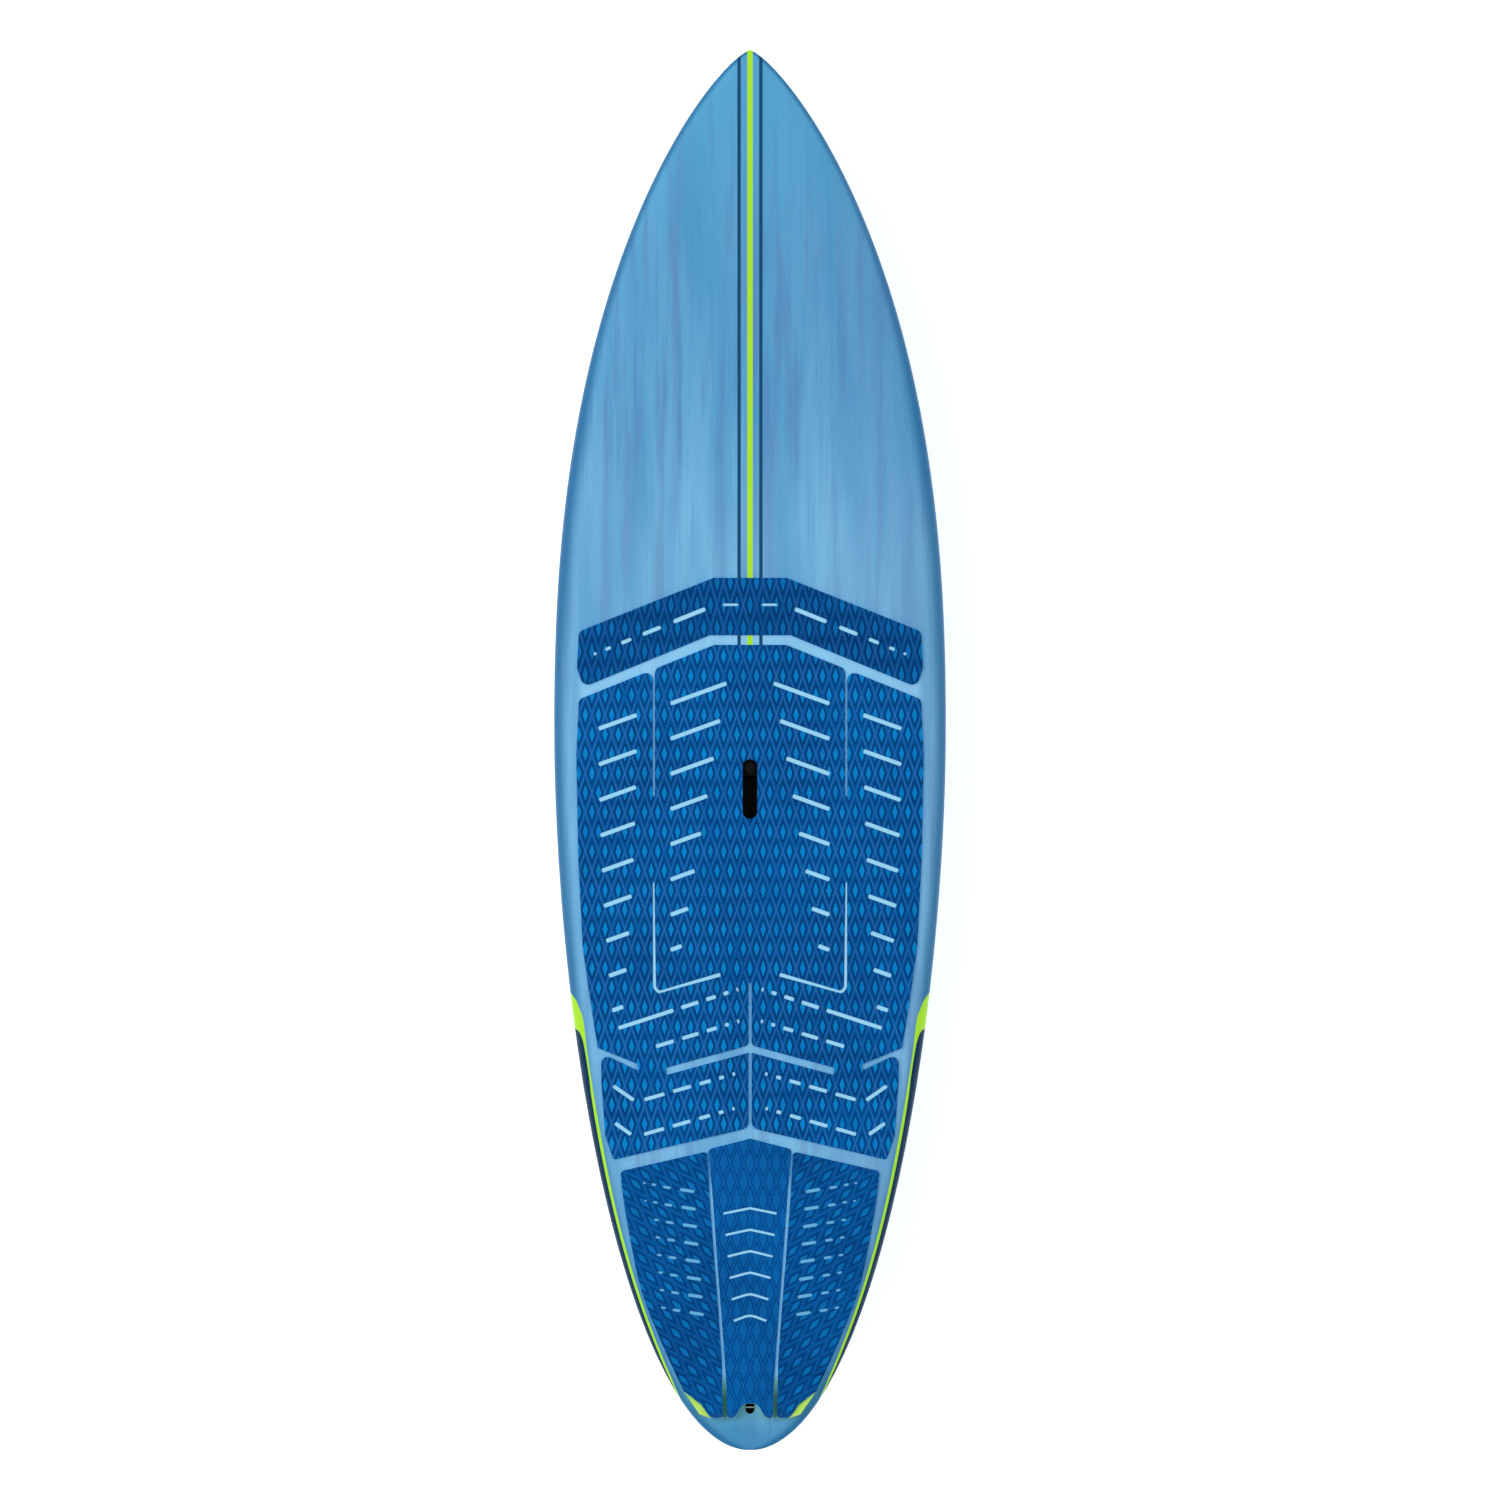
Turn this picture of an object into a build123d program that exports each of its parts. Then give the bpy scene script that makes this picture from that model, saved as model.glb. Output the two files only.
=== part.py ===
from build123d import *
import math
import os

# Stand up paddleboard, short surf shape. Millimetres, +Y towards the nose, +X to the right of a
# rider who faces the nose, +Z up. The origin is under the middle of the board, level with the
# tip of the centre fin, so the board stands on Z = 0.

# ------------------------------------------------------------------ driving dimensions: hull
LENGTH = 2184.0
WIDTH = 611.0
THICKNESS = 105.0
TIP_THICKNESS = 42.0            # thickness that the profile tapers to, before the ends round off
THICKNESS_TAPER = 2.5
END_ROUNDING = 30.0             # power of the profile's rounding: higher is blunter
WIDE_POINT_Y = 30.0             # widest station, forward of mid-length
NOSE_PLAN = (2.37, 0.764)       # powers of the plan outline ahead of the widest station
TAIL_PLAN = (1.813, 0.497)      # and behind it
NOSE_ROCKER = 150.0
NOSE_ROCKER_POWER = 2.6
TAIL_ROCKER = 55.0
TAIL_CURVE_START = 150.0        # distances behind mid-length: the tail rocker curves up from here
TAIL_STRAIGHT_START = 650.0     # and is straight from here, where the fins are
APEX_RATIO = 0.42               # height of the rail's widest line, as a share of the thickness
# Control points of half a section, from the rail to the centreline, as shares of the half width
# and of the height above (or depth below) the rail's apex.
DECK_ARCH = [(1, 0), (1, 0.9), (0.95, 1.0), (0.45, 1.05)]
BOTTOM_ARCH = [(1, 0), (1, 1.4), (1, 1.05), (0.6, 0.9186)]
STATIONS = 29
END_STATION_ANGLE = 88.5        # degrees: stations crowd towards both ends
SKIN = 3.0
LAP = 0.35                      # how far the deck skin laps below the apex, of the lower half
STRINGER_WIDTH = 5.0
STRINGER_END_Y = -985.0

# ------------------------------------------------------------------ driving dimensions: deck fittings
PAD_THICKNESS = 5.0
HANDLE_Y = -61.0
HANDLE_SLOT = (93.0, 23.0)
HANDLE_DEPTH = 46.0
HANDLE_LIP = 12.0               # thickness of the ledge that the fingers curl under
HANDLE_UNDERCUT = 11.0
HANDLE_WALL = 5.0
HANDLE_SHELF = (25.0, 15.0)     # length and depth of the vent's shelf, at the forward end
VENT_RADIUS = 8.5
VENT_COLLAR_RADIUS = 6.3
VENT_BORE_RADIUS = 3.0
VENT_TUBE_DEPTH = 18.0
VENT_FLANGE = 1.5               # heights above the shelf: top of the flange, seal, membrane seat, cap
VENT_SEAL_TOP = 2.3
VENT_COLLAR_TOP = 4.3
VENT_CAP_TOP = 6.0
LEASH_Y = -1028.0
LEASH_MOUTH_RADIUS = 7.1        # the mouth is round behind LEASH_Y and square ahead of it
LEASH_MOUTH_FRONT = 8.5
LEASH_CUP_RADIUS = 14.0
LEASH_DEPTH = 20.0
LEASH_PIN_RADIUS = 1.5
LEASH_PIN_DROP = 6.0
LEASH_PIN_FORWARD = 3.2
KICK_FRONT_Y = -976.0
KICK_CREST_Y = -1035.0
KICK_BACK_Y = -1041.5
KICK_BACK_DROP = 9.0            # the back of the kick falls this far below its crest
KICK_HEIGHT = 24.0

# ------------------------------------------------------------------ driving dimensions: fin system
CENTRE_BOX_Y = -850.0
CENTRE_BOX = (273.0, 32.0, 27.0)
CENTRE_SLOT = (254.0, 9.6, 20.0)
GROOVE_REACH = 3.2
GROOVE_HEIGHT = 4.5
GROOVE_MID_DEPTH = 11.75
CENTRE_TAB = (173.0, 9.3, 15.0)
CENTRE_LUG = (26.0, -9.0, -4.0)  # length, inner face and outer face of the tab's screw lug
CENTRE_FIN_DEPTH = 150.0
CENTRE_FIN_SWEEP = 150.0
CENTRE_FIN_FRONT = CENTRE_TAB[0] / 2 - CENTRE_LUG[0] - 2
TIP_TRIM = 3.0                  # how much a fin's last section is cut back at each end, to round it
FIN_SCREW_RADIUS = 2.0
FIN_TAPER = 0.62                # share of its thickness that a fin has lost at its tip
FIN_HOLLOW = 0.16               # how far the trailing edge hollows forward, as a share of the depth
RUNNING_GAP = 0.05
FIN_BASE_GAP = 1.2              # between a fin's foil and the hull
SIDE_BOX = (126.0, 20.0, 20.0)
SIDE_SLOT = (100.0, 6.6, 14.0)
SIDE_TAB_SLACK = 0.1
SIDE_FIN_DEPTH = 112.0
SIDE_FRONT = (158.0, -760.0)    # x and y of the front side boxes; those on the left mirror them
SIDE_REAR = (112.0, -893.0)
SIDE_CANT = 5.0
GRUB_RADIUS = 2.5
GRUB_LENGTH = 9.0
FIN_BLOCK_MARGIN = 8.0          # insert foam around a fin box, at its ends and sides
FIN_BLOCK_FLOOR = 6.0           # and under it

HALF_LENGTH = LENGTH / 2
ROCKER_RUN = TAIL_STRAIGHT_START - TAIL_CURVE_START
ROCKER_FACTOR = TAIL_ROCKER / (ROCKER_RUN ** 2 + 2 * ROCKER_RUN * (HALF_LENGTH - TAIL_STRAIGHT_START))
TAIL_SLOPE = math.atan(2 * ROCKER_FACTOR * ROCKER_RUN)


# ------------------------------------------------------------------ hull shape as functions of Y
def rocker(y):
    """Height of the bottom's centreline above its lowest point."""
    if y > 0:
        return NOSE_ROCKER * (y / HALF_LENGTH) ** NOSE_ROCKER_POWER
    behind = -y - TAIL_CURVE_START
    if behind <= 0:
        return 0.0
    if behind <= ROCKER_RUN:
        return ROCKER_FACTOR * behind ** 2
    return ROCKER_FACTOR * ROCKER_RUN ** 2 + math.tan(TAIL_SLOPE) * (behind - ROCKER_RUN)


# The centre fin's tip is the lowest point of the board, and Z = 0 is there.
TIP_BEHIND_BOX = CENTRE_FIN_SWEEP + TIP_TRIM - CENTRE_FIN_FRONT
TIP_BELOW_BOX = CENTRE_FIN_DEPTH + FIN_BASE_GAP
HULL_BASE = (TIP_BELOW_BOX * math.cos(TAIL_SLOPE) - TIP_BEHIND_BOX * math.sin(TAIL_SLOPE)
             - rocker(CENTRE_BOX_Y))


def bezier_point(points, share):
    """De Casteljau's construction."""
    while len(points) > 1:
        pairs = zip(points, points[1:])
        points = [tuple(a + (b - a) * share for a, b in zip(first, second)) for first, second in pairs]
    return points[0]


def arch_height(shares, across):
    """Height share of a section curve at a share of the half width, by bisection."""
    points = shares + [(-x, z) for x, z in reversed(shares)]
    low, high = 0.0, 0.5
    for _ in range(30):
        middle = (low + high) / 2
        if bezier_point(points, middle)[0] > across:
            low = middle
        else:
            high = middle
    return bezier_point(points, high)[1]


class HullShape:
    """The hull's surface, or the same surface set in by a skin's thickness."""

    def __init__(self, inset):
        self.inset = inset
        self.half_length = HALF_LENGTH - 2.7 * inset

    def half_width(self, y):
        if y >= WIDE_POINT_Y:
            share = (y - WIDE_POINT_Y) / (self.half_length - WIDE_POINT_Y)
            plan = NOSE_PLAN
        else:
            share = (WIDE_POINT_Y - y) / (self.half_length + WIDE_POINT_Y)
            plan = TAIL_PLAN
        return (WIDTH / 2 - self.inset) * (1 - share ** plan[0]) ** plan[1]

    def thickness(self, y):
        share = abs(y) / self.half_length
        full = TIP_THICKNESS + (THICKNESS - TIP_THICKNESS) * (1 - share ** THICKNESS_TAPER)
        return (full - 2 * self.inset) * math.sqrt(1 - share ** END_ROUNDING)

    def apex(self, y):
        share = abs(y) / HALF_LENGTH
        full = TIP_THICKNESS + (THICKNESS - TIP_THICKNESS) * (1 - share ** THICKNESS_TAPER)
        return HULL_BASE + rocker(y) + APEX_RATIO * full

    def deck(self, x, y):
        rise = (1 - APEX_RATIO) * self.thickness(y)
        return self.apex(y) + rise * arch_height(DECK_ARCH, abs(x) / self.half_width(y))

    def bottom(self, x, y):
        drop = APEX_RATIO * self.thickness(y)
        return self.apex(y) - drop * arch_height(BOTTOM_ARCH, abs(x) / self.half_width(y))

    def stations(self):
        reach = math.radians(END_STATION_ANGLE)
        for index in range(STATIONS):
            yield self.half_length * math.sin(reach * (2 * index / (STATIONS - 1) - 1))

    def arch(self, y, height, shares):
        """The curve from the right rail over (or under) the centreline to the left rail."""
        width = self.half_width(y)
        middle = self.apex(y)
        right = [(width * across, y, middle + height * up) for across, up in shares]
        left = [(-x, y, z) for x, _, z in reversed(right)]
        return Bezier(*right, *left)

    def section(self, y):
        thickness = self.thickness(y)
        over = self.arch(y, (1 - APEX_RATIO) * thickness, DECK_ARCH).edge()
        under = self.arch(y, -APEX_RATIO * thickness, BOTTOM_ARCH).edge()
        return Face(Wire([over, under.reversed()]))

    def solid(self):
        return loft([self.section(y) for y in self.stations()])


hull = HullShape(0.0)
core_shape = HullShape(SKIN)


# ------------------------------------------------------------------ small helpers
def slab(y_low, y_high, half_width, z_low, z_high):
    """An upright box centred on X = 0."""
    size = (2 * half_width, y_high - y_low, z_high - z_low)
    return Pos(0, (y_low + y_high) / 2, (z_low + z_high) / 2) * Box(*size)


def upright(face, z_low, z_high):
    """A plan outline drawn on Z = 0, made into an upright prism."""
    return Pos(0, 0, z_low) * extrude(face, z_high - z_low)


def stadium(length, width):
    """A slot outline, long along Y."""
    return Rot(0, 0, 90) * SlotOverall(length, width)


def mirrored_outline(points):
    """A closed outline from the right-hand points of a shape that is symmetric about X = 0."""
    left = [(-x, y) for x, y in reversed(points) if x > 0]
    return make_face(Polyline(*points, *left, close=True))


def rounded(face, radius, keep=lambda vertex: True):
    return fillet([vertex for vertex in face.vertices() if keep(vertex)], radius)


def fin_frame(x, y, cant=0.0):
    """A plane on the hull's bottom: local x forward, y to the right, z out of the hull."""
    lean = math.cos(TAIL_SLOPE)
    rise = math.sin(TAIL_SLOPE)
    plane = Plane(origin=(x, y, hull.bottom(x, y)), x_dir=(0, lean, -rise), z_dir=(0, -rise, -lean))
    return plane.location * Rot(cant, 0, 0)


LOW = -50.0
HIGH = 500.0

# ------------------------------------------------------------------ hull: skins, cores, stringer
outer = hull.solid()
inner = core_shape.solid()


def parting_solid():
    """Everything above the line where the deck skin laps over the bottom skin."""
    line = []
    for y in hull.stations():
        line.append((0, y, hull.apex(y) - LAP * APEX_RATIO * hull.thickness(y)))
    curve = Spline(*line)
    reach = HALF_LENGTH + 60
    start = line[0]
    end = line[-1]
    rim = Polyline(
        end, (0, reach, end[2]), (0, reach, HIGH), (0, -reach, HIGH), (0, -reach, start[2]), start)
    return extrude(make_face(curve + rim), WIDTH / 2 + 50, dir=(1, 0, 0), both=True)


# ------------------------------------------------------------------ fitting blanks, cut from the hull
deck_at_handle = hull.deck(0, HANDLE_Y)
handle_outer = (
    HANDLE_SLOT[0] + 2 * HANDLE_WALL, HANDLE_SLOT[1] + 2 * HANDLE_UNDERCUT + 2 * HANDLE_WALL)
handle_floor = deck_at_handle - HANDLE_DEPTH - HANDLE_WALL
handle_blank = Pos(0, HANDLE_Y) * upright(stadium(*handle_outer), handle_floor, HIGH)
handle_block_blank = slab(HANDLE_Y - 80, HANDLE_Y + 80, 48, handle_floor - 10, HIGH)

deck_at_leash = hull.deck(0, LEASH_Y)
leash_floor = deck_at_leash - LEASH_DEPTH
leash_blank = Pos(0, LEASH_Y) * upright(Circle(LEASH_CUP_RADIUS), leash_floor - 4, HIGH)
leash_block_blank = slab(LEASH_Y - 24, LEASH_Y + 24, 26, leash_floor - 12, HIGH)
mouth_front = Pos(0, LEASH_MOUTH_FRONT / 2) * Rectangle(2 * LEASH_MOUTH_RADIUS, LEASH_MOUTH_FRONT)
leash_mouth = fillet(mouth_front.vertices().group_by(Axis.Y)[-1], 2) + Circle(LEASH_MOUTH_RADIUS)
leash_cavity = Pos(0, LEASH_Y) * upright(leash_mouth, leash_floor, HIGH)

centre_frame = fin_frame(0, CENTRE_BOX_Y)
centre_box_blank = centre_frame * (Pos(0, 0, -CENTRE_BOX[2]) * extrude(
    SlotOverall(CENTRE_BOX[0], CENTRE_BOX[1]), CENTRE_BOX[2] + 10))
centre_block_blank = centre_frame * (Pos(0, 0, -CENTRE_BOX[2] - FIN_BLOCK_FLOOR) * extrude(
    Rectangle(CENTRE_BOX[0] + 2 * FIN_BLOCK_MARGIN, CENTRE_BOX[1] + 3 * FIN_BLOCK_MARGIN),
    CENTRE_BOX[2] + 30))

SIDE_BOXES = {
    "front_right": (SIDE_FRONT[0], SIDE_FRONT[1], -SIDE_CANT),
    "front_left": (-SIDE_FRONT[0], SIDE_FRONT[1], SIDE_CANT),
    "rear_right": (SIDE_REAR[0], SIDE_REAR[1], -SIDE_CANT),
    "rear_left": (-SIDE_REAR[0], SIDE_REAR[1], SIDE_CANT),
}
side_frames = {name: fin_frame(*place) for name, place in SIDE_BOXES.items()}


def side_box_blank(frame):
    return frame * (Pos(0, 0, -SIDE_BOX[2]) * extrude(SlotOverall(*SIDE_BOX[:2]), SIDE_BOX[2] + 12))


def side_block_blank(frame):
    outline = SlotOverall(SIDE_BOX[0] + 2 * FIN_BLOCK_MARGIN, SIDE_BOX[1] + 2 * FIN_BLOCK_MARGIN)
    return frame * (Pos(0, 0, -SIDE_BOX[2] - FIN_BLOCK_FLOOR) * extrude(outline, SIDE_BOX[2] + 20))


side_blanks = {name: side_box_blank(frame) for name, frame in side_frames.items()}
side_block_blanks = {name: side_block_blank(frame) for name, frame in side_frames.items()}

parts = {}


def build_hull():
    """Deck skin, bottom skin, the two foam cores and the stringer between them."""
    shell = outer - inner
    upper = parting_solid()
    parts["deck_shell"] = (shell & upper) - handle_blank - leash_cavity
    bottom = (shell - upper) - centre_box_blank
    for blank in side_blanks.values():
        bottom -= blank
    parts["bottom_shell"] = bottom

    foam = inner - handle_block_blank - leash_block_blank - centre_block_blank
    for blank in side_block_blanks.values():
        foam -= blank
    strip = slab(STRINGER_END_Y, HALF_LENGTH, STRINGER_WIDTH / 2, LOW, HIGH)
    parts["stringer"] = foam & strip
    foam -= strip
    reach = HALF_LENGTH + 10
    half = Pos(WIDTH / 2, 0, (LOW + HIGH) / 2) * Box(WIDTH, 2 * reach, HIGH - LOW)
    parts["core_right"] = foam & half
    parts["core_left"] = foam - half

    parts["handle_block"] = (inner & handle_block_blank) - handle_blank
    parts["leash_block"] = (inner & leash_block_blank) - leash_blank
    parts["centre_box_block"] = (inner & centre_block_blank) - centre_box_blank
    for name, blank in side_block_blanks.items():
        parts[f"side_block_{name}"] = (inner & blank) - side_blanks[name]


# ------------------------------------------------------------------ deck fittings
def build_handle():
    """A recessed grab handle with an undercut ledge, and the pressure vent on its forward shelf."""
    length, width = HANDLE_SLOT
    forward = HANDLE_Y + length / 2
    cavity_floor = deck_at_handle - HANDLE_DEPTH
    ledge = deck_at_handle - HANDLE_LIP
    shelf = deck_at_handle - HANDLE_SHELF[1]
    mouth = Pos(0, HANDLE_Y) * upright(stadium(length, width), shelf, HIGH)
    undercut = stadium(length, width + 2 * HANDLE_UNDERCUT)
    chamber = Pos(0, HANDLE_Y) * upright(undercut, cavity_floor, ledge)
    chamber -= slab(
        forward - HANDLE_SHELF[0], forward + 1, width + HANDLE_UNDERCUT, cavity_floor - 1, ledge)
    parts["handle_cup"] = (outer & handle_blank) - mouth - chamber

    vent_y = forward - HANDLE_SHELF[0] / 2
    tube_foot = shelf - VENT_TUBE_DEPTH
    collar_top = shelf + VENT_COLLAR_TOP
    cap_top = shelf + VENT_CAP_TOP
    body = upright(Circle(VENT_RADIUS), shelf, shelf + VENT_FLANGE)
    body += upright(Circle(VENT_COLLAR_RADIUS), tube_foot, collar_top)
    body -= upright(Circle(VENT_BORE_RADIUS), tube_foot - 1, collar_top + 1)
    vent_hole = Pos(0, vent_y) * upright(Circle(VENT_COLLAR_RADIUS), tube_foot, shelf + 1)
    parts["handle_cup"] -= vent_hole
    seal = Circle(VENT_RADIUS - 0.3) - Circle(VENT_COLLAR_RADIUS + 2 * RUNNING_GAP)
    cap = upright(Circle(VENT_RADIUS), shelf + VENT_SEAL_TOP, cap_top)
    cap -= upright(Circle(VENT_COLLAR_RADIUS + RUNNING_GAP), shelf, collar_top + 0.5)
    cap -= upright(RegularPolygon(2.6, 6), cap_top - 0.8, cap_top + 1)
    pieces = {
        "vent_body": body,
        "vent_seal": upright(seal, shelf + VENT_FLANGE, shelf + VENT_SEAL_TOP),
        "vent_membrane": upright(Circle(VENT_COLLAR_RADIUS - 0.3), collar_top, collar_top + 0.3),
        "vent_cap": cap,
    }
    for name, piece in pieces.items():
        parts[name] = Pos(0, vent_y) * piece
    # The vent's tube breathes into the foam under the handle block.
    parts["handle_block"] -= vent_hole


def build_leash_plug():
    """A cup under the deck skin, with a steel pin across it that a leash string is looped round."""
    pin = Cylinder(LEASH_PIN_RADIUS, 2 * LEASH_CUP_RADIUS - 3, rotation=(0, 90, 0))
    pin = Pos(0, LEASH_Y + LEASH_PIN_FORWARD, deck_at_leash - LEASH_PIN_DROP) * pin
    parts["leash_cup"] = (inner & leash_blank) - leash_cavity - pin
    parts["leash_pin"] = pin


# ------------------------------------------------------------------ EVA deck pads
# Right-hand outline points of each pad, (x, y).
FRONT_PAD = [(57, 268.5), (267, 185), (270, 128), (260, 98), (63, 179)]
MAIN_PAD = [
    (56, 164), (267, 79), (271, -8), (268, -168), (261, -308), (249, -392), (238, -463),
    (232, -481), (232, -517), (226, -601), (213, -639), (0, -589),
]
TAIL_PAD_INNER = [
    (67, -626), (62.5, -703), (56.2, -787), (49.5, -870.5), (43.7, -954), (42.5, KICK_BACK_Y),
]
TAIL_PAD_OUTER = [
    (202, -661), (194, -724), (184, -779), (169, -845), (150, -896), (132.6, -937), (103.6, -1000),
]
TAIL_PAD_CHAMFER = [(76, -1021), (62, KICK_BACK_Y)]
TAIL_PAD_FRONT = (199, -656)
CENTRE_PAD = [
    (0, -606), (65, -622.5), (59, -688), (52, -787), (44, -891.5), (38, -975), (35, KICK_BACK_Y),
    (24, KICK_BACK_Y), (15, -1025), (8, -1019),
]
WEDGE_CORNER = [(100, -1005), (78.5, -1036), (63, KICK_BACK_Y)]


def tail_pad_outline(outer_corner):
    """The right-hand tail pad: a bowed outer edge and a nearly straight inner one."""
    bow = Spline(*TAIL_PAD_OUTER)
    front = Polyline(TAIL_PAD_INNER[0], TAIL_PAD_FRONT, TAIL_PAD_OUTER[0])
    corner = Polyline(TAIL_PAD_OUTER[-1], *outer_corner, TAIL_PAD_INNER[-1])
    inner_edge = Polyline(*TAIL_PAD_INNER)
    return make_face(front + bow + corner + inner_edge)


def build_pads():
    """Five pads that follow the deck; the three at the tail ride up over foam kick wedges."""
    skin = (Pos(0, 0, PAD_THICKNESS) * outer) - outer
    front = rounded(mirrored_outline(FRONT_PAD), 12, lambda vertex: abs(vertex.X) > 200)
    main = mirrored_outline(MAIN_PAD)
    main = rounded(main, 10, lambda vertex: abs(vertex.X) > 200 and vertex.Y > 70)
    main -= Pos(0, HANDLE_Y) * stadium(*HANDLE_SLOT)
    parts["pad_front"] = skin & upright(front, LOW, HIGH)
    parts["pad_main"] = skin & upright(main, LOW, HIGH)

    deck_front = hull.deck(0, KICK_FRONT_Y)
    crest = hull.deck(0, KICK_CREST_Y) + KICK_HEIGHT
    foot = deck_front - 30
    profile = Polyline(
        (0, KICK_FRONT_Y, foot), (0, KICK_FRONT_Y, deck_front), (0, KICK_CREST_Y, crest),
        (0, KICK_BACK_Y, crest - KICK_BACK_DROP), (0, KICK_BACK_Y, foot), close=True)
    ramp = extrude(make_face(profile), WIDTH / 4, dir=(1, 0, 0), both=True)
    cover = (skin + (Pos(0, 0, PAD_THICKNESS) * ramp)) - outer - ramp
    sheets = {
        "pad_tail_right": tail_pad_outline(TAIL_PAD_CHAMFER),
        "pad_tail_centre": mirrored_outline(CENTRE_PAD),
    }
    sheets["pad_tail_left"] = mirror(sheets["pad_tail_right"], Plane.YZ)
    wedges = {
        "kick_wedge_right": tail_pad_outline(WEDGE_CORNER),
        "kick_wedge_centre": sheets["pad_tail_centre"],
    }
    wedges["kick_wedge_left"] = mirror(wedges["kick_wedge_right"], Plane.YZ)
    for name, outline in sheets.items():
        parts[name] = cover & upright(outline, LOW, HIGH)
    for name, outline in wedges.items():
        parts[name] = (ramp - outer) & upright(outline, LOW, HIGH)


# ------------------------------------------------------------------ fins and their boxes
def foil_section(height, front, back, half_thickness, flat):
    """An aerofoil outline in a plane at one height; flat is the share left on the inner side."""
    chord = front - back
    station = [(0.0, 0.0), (0.03, 0.45), (0.12, 0.82), (0.32, 1.0), (0.65, 0.66), (1.0, 0.08)]
    upper = [(front - share * chord, half_thickness * rise, height) for share, rise in station]
    lower = [(x, -side * flat, height) for x, side, _ in upper]
    tail_edge = Line(upper[-1], lower[-1])
    return make_face(Spline(*upper) + tail_edge + Spline(*reversed(lower)))


def foil(depth, base, sweep, tip_chord, thickness, flat):
    """A raked fin blade: its leading edge sweeps back, and its trailing edge hollows then follows."""
    front, back = base
    sections = []
    for share in (0.0, 0.2, 0.4, 0.6, 0.8, 0.93, 1.0):
        lead = front - sweep * share ** 1.8
        tip_back = front - sweep - tip_chord
        trail = back + (tip_back - back) * share ** 2
        trail += FIN_HOLLOW * depth * math.sin(math.pi * share)
        side = thickness / 2 * (1 - FIN_TAPER * share ** 1.5)
        if share == 1.0:
            lead -= TIP_TRIM
            trail += TIP_TRIM
            side *= 0.55
        sections.append(foil_section(FIN_BASE_GAP + depth * share, lead, trail, side, flat))
    return loft(sections)


def build_centre_fin():
    """A long box with a grooved slot, and its fin, held by a cross pin, a screw and a nut plate."""
    slot_length, slot_width, slot_depth = CENTRE_SLOT
    tab_length, tab_width, tab_depth = CENTRE_TAB
    groove_width = slot_width + 2 * GROOVE_REACH
    pin_x = -tab_length / 2 + 7
    screw_x = tab_length / 2 - 12
    lug_length, lug_top, lug_foot = CENTRE_LUG

    slot = Pos(0, 0, -slot_depth / 2 + 5) * Box(slot_length, slot_width, slot_depth + 10)
    groove = Pos(0, 0, -GROOVE_MID_DEPTH) * Box(slot_length, groove_width, GROOVE_HEIGHT)
    notch = Pos(0, 0, -GROOVE_MID_DEPTH / 2 + 5) * Box(17, groove_width, GROOVE_MID_DEPTH + 10)
    parts["centre_fin_box"] = (outer & centre_box_blank) - centre_frame * (slot + groove + notch)

    tab_body = Pos(-lug_length / 2, 0, (FIN_BASE_GAP - tab_depth) / 2) * Box(
        tab_length - lug_length, tab_width, tab_depth + FIN_BASE_GAP)
    lug = Pos(tab_length / 2 - lug_length / 2, 0, (lug_top + lug_foot) / 2) * Box(
        lug_length, tab_width, lug_foot - lug_top)
    base = (CENTRE_FIN_FRONT, -tab_length / 2 + 4)
    blade = foil(CENTRE_FIN_DEPTH, base, CENTRE_FIN_SWEEP, 22, 9, 1.0)
    fin = tab_body + lug + blade
    pin = Pos(pin_x, 0, -GROOVE_MID_DEPTH) * Cylinder(2.0, groove_width - 0.4, rotation=(90, 0, 0))
    fin -= pin
    screw_hole = Pos(screw_x, 0, -GROOVE_MID_DEPTH) * Cylinder(FIN_SCREW_RADIUS + RUNNING_GAP, 24)
    plate_height = 3.2
    plate_foot = GROOVE_HEIGHT / 2 - GROOVE_MID_DEPTH - 0.1
    plate = Pos(screw_x, 0, plate_foot - plate_height / 2) * Box(14, groove_width - 0.4, plate_height)
    screw_tip = plate_foot - plate_height
    head_seat = lug_foot + RUNNING_GAP
    screw = Pos(screw_x, 0, (screw_tip + head_seat) / 2) * Cylinder(FIN_SCREW_RADIUS, head_seat - screw_tip)
    head = Pos(screw_x, 0, head_seat + 1.2) * Cylinder(3.6, 2.4)
    cross = Box(5.4, 1.0, 1.4) + Box(1.0, 5.4, 1.4)
    drive = Pos(screw_x, 0, lug_foot + 2.2) * cross
    parts["centre_fin"] = centre_frame * (fin - screw_hole)
    parts["fin_cross_pin"] = centre_frame * pin
    parts["fin_nut_plate"] = centre_frame * (plate - screw_hole)
    parts["fin_screw"] = centre_frame * (screw + head - drive)


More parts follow.
